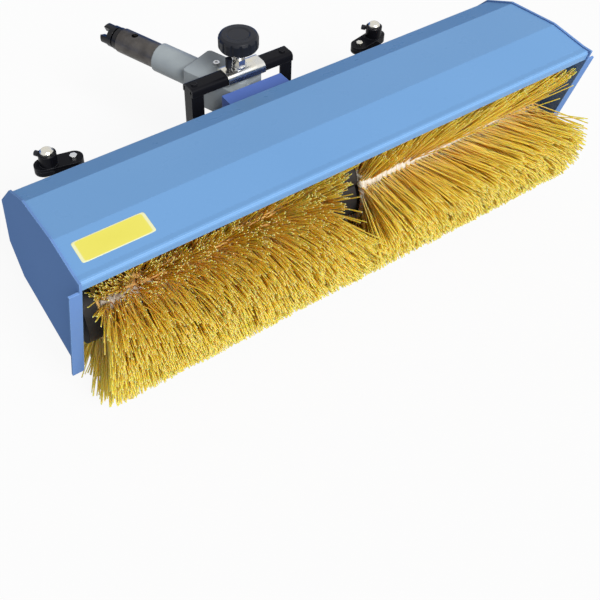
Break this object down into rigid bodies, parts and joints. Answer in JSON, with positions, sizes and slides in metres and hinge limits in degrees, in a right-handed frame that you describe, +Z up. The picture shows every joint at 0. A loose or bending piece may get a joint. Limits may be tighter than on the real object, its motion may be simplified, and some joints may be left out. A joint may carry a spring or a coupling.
{
  "type": "power brush sweeper",
  "caption": "Roller brush sweeper with a folded blue hood, centre gear drive, swivelling tube coupling with drive dog, clamp knob and height-adjustable rear castors.",
  "frame": {"origin": "on the floor, below the middle of the box round the whole sweeper", "axes": "+X along the brush to its right end, +Y back towards the tractor coupling, +Z up"},
  "size_m": [1.04, 0.7744, 0.3626],
  "materials": {
    "hood_blue": "gloss powder coat",
    "frame_black": "gloss black paint",
    "zinc": "bright zinc plate",
    "cast_grey": "painted casting",
    "dark_steel": "dark oiled steel",
    "black_oxide": "black oxide",
    "bright_steel": "machined",
    "bronze": "machined",
    "bristle": "polypropylene bristle",
    "drum_black": "satin black",
    "knob_black": "moulded",
    "seal_rubber": "matt",
    "wheel_grey": "moulded",
    "tyre_black": "matt"
  },
  "bodies": {
    "chassis": {"hood_shell": "hood_blue", "left_end_plate": "hood_blue", "right_end_plate": "hood_blue", "mount_box": "hood_blue", "frame_top_bar": "frame_black", "frame_left_leg": "frame_black", "frame_right_leg": "frame_black", "frame_lower_bar": "frame_black", "frame_screws": "frame_black", "frame_bolts": "zinc", "clamp_saddle": "zinc", "lower_pivot": "zinc", "gear_case_left": "dark_steel", "gear_case_right": "dark_steel", "case_bolts": "zinc", "brush_bearings": "bright_steel", "shaft_seals": "seal_rubber", "neck_tube": "dark_steel", "neck_bolts": "zinc", "worm_bearings": "bright_steel", "left_arm": "frame_black", "right_arm": "frame_black", "arm_bolts": "zinc", "left_sleeve": "frame_black", "right_sleeve": "frame_black", "sleeve_bolts": "zinc"},
    "brush": {"brush_shaft": "bright_steel", "worm_wheel": "bronze", "left_drum": "drum_black", "right_drum": "drum_black", "left_bristles": "bristle", "right_bristles": "bristle", "drum_washers": "zinc", "drum_bolts": "zinc"},
    "worm": {"worm_shaft": "dark_steel", "front_claw": "dark_steel"},
    "head": {"swivel_housing": "cast_grey", "housing_plug": "bright_steel", "coupling_tube": "dark_steel", "input_bearings": "bright_steel"},
    "input": {"input_shaft": "bright_steel", "rear_claw": "dark_steel", "drive_dog": "black_oxide"},
    "clamp_lifter": {"clamp_washer": "zinc"},
    "knob": {"clamp_spindle": "zinc", "clamp_nut": "zinc", "clamp_knob": "knob_black"},
    "lock": {"lock_screw": "knob_black"},
    "left_thumb": {"left_thumb_screw": "knob_black"},
    "right_thumb": {"right_thumb_screw": "knob_black"},
    "left_height": {"left_stem": "zinc"},
    "right_height": {"right_stem": "zinc"},
    "left_castor": {"left_fork": "zinc", "left_axle": "zinc"},
    "right_castor": {"right_fork": "zinc", "right_axle": "zinc"},
    "left_roller": {"left_wheel": "wheel_grey", "left_tyre": "tyre_black"},
    "right_roller": {"right_wheel": "wheel_grey", "right_tyre": "tyre_black"}
  },
  "joints": [
    {"name": "brush_spin", "type": "hinge", "parent": "chassis", "child": "brush", "pos_m": [0, -0.21467, 0.172], "axis": [1, 0, 0], "continuous": true},
    {"name": "worm_spin", "type": "hinge", "parent": "chassis", "child": "worm", "pos_m": [0, -0.21467, 0.222], "axis": [0, 1, 0], "continuous": true},
    {"name": "head_swivel", "type": "hinge", "parent": "chassis", "child": "head", "pos_m": [0, 0.05417, 0.222], "axis": [0, 0, 1], "range_deg": [-40, 0]},
    {"name": "input_spin", "type": "hinge", "parent": "head", "child": "input", "pos_m": [0, 0.05417, 0.222], "axis": [-0.342, 0.9397, 0], "continuous": true},
    {"name": "knob_turn", "type": "hinge", "parent": "clamp_lifter", "child": "knob", "pos_m": [0, 0.05417, 0.283], "axis": [0, 0, 1], "range_deg": [-1, 1081]},
    {"name": "clamp_lift", "type": "slide", "parent": "chassis", "child": "clamp_lifter", "axis": [0, 0, 1], "range_m": [0, 0.006]},
    {"name": "lock_turn", "type": "hinge", "parent": "chassis", "child": "lock", "pos_m": [-0.022, 0.05417, 0.283], "axis": [0, 0, 1], "range_deg": [0, 720]},
    {"name": "left_thumb_turn", "type": "hinge", "parent": "chassis", "child": "left_thumb", "pos_m": [-0.377, 0.11133, 0.199], "axis": [-0.5446, 0.8387, 0], "range_deg": [0, 720]},
    {"name": "left_height_slide", "type": "slide", "parent": "chassis", "child": "left_height", "axis": [0, 0, 1], "range_m": [-0.005, 0.03]},
    {"name": "left_castor_swivel", "type": "hinge", "parent": "left_height", "child": "left_castor", "pos_m": [-0.377, 0.11133, 0.112], "axis": [0, 0, 1], "continuous": true},
    {"name": "left_wheel_spin", "type": "hinge", "parent": "left_castor", "child": "left_roller", "pos_m": [-0.377, 0.14633, 0.05], "axis": [1, 0, 0], "continuous": true},
    {"name": "right_thumb_turn", "type": "hinge", "parent": "chassis", "child": "right_thumb", "pos_m": [0.377, 0.11133, 0.199], "axis": [-0.5446, 0.8387, 0], "range_deg": [0, 720]},
    {"name": "right_height_slide", "type": "slide", "parent": "chassis", "child": "right_height", "axis": [0, 0, 1], "range_m": [-0.005, 0.03]},
    {"name": "right_castor_swivel", "type": "hinge", "parent": "right_height", "child": "right_castor", "pos_m": [0.377, 0.11133, 0.112], "axis": [0, 0, 1], "continuous": true},
    {"name": "right_wheel_spin", "type": "hinge", "parent": "right_castor", "child": "right_roller", "pos_m": [0.377, 0.14633, 0.05], "axis": [1, 0, 0], "continuous": true}
  ],
  "couplings": [
    {"joint": "worm_spin", "follows": "brush_spin", "ratio": 6},
    {"joint": "input_spin", "follows": "brush_spin", "ratio": 6},
    {"joint": "knob_turn", "follows": "clamp_lift", "rad_per_m": 3141.6}
  ]
}
